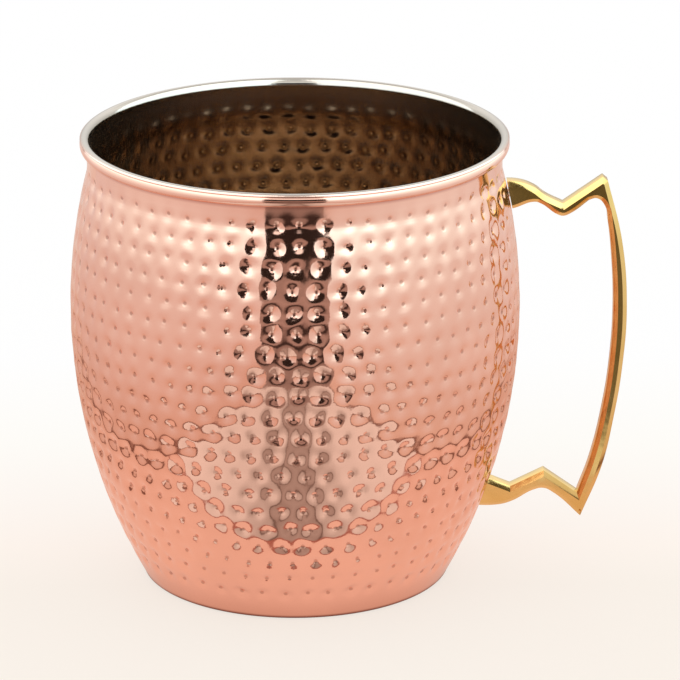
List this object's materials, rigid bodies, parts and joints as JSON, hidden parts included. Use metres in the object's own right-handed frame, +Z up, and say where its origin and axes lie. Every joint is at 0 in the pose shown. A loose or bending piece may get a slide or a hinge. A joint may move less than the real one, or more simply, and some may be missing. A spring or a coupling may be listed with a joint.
{
  "type": "copper mug",
  "caption": "Large barrel-shaped copper mug with a hammered wall, rolled rim, nickel lining and an angular cast brass handle.",
  "frame": {"origin": "centre of the base's underside, on the axis of the barrel", "axes": "+Z up along the barrel's axis, +X from the axis towards the handle, +Y to the side"},
  "size_m": [0.2596, 0.2098, 0.2119],
  "materials": {
    "copper": "hammered copper sheet, mirror polished",
    "nickel": "polished nickel plate",
    "brass": "cast brass, polished",
    "steel": "drawn wire",
    "solder": "dull solder",
    "silicone": "matte silicone"
  },
  "bodies": {
    "root": {"body_shell": "copper", "base_disc": "copper", "base_solder": "solder", "rim_wire": "steel", "lining": "nickel", "handle": "brass", "upper_screw": "nickel", "lower_screw": "nickel", "upper_washer": "nickel", "lower_washer": "nickel", "upper_gasket": "silicone", "lower_gasket": "silicone"}
  },
  "joints": []
}
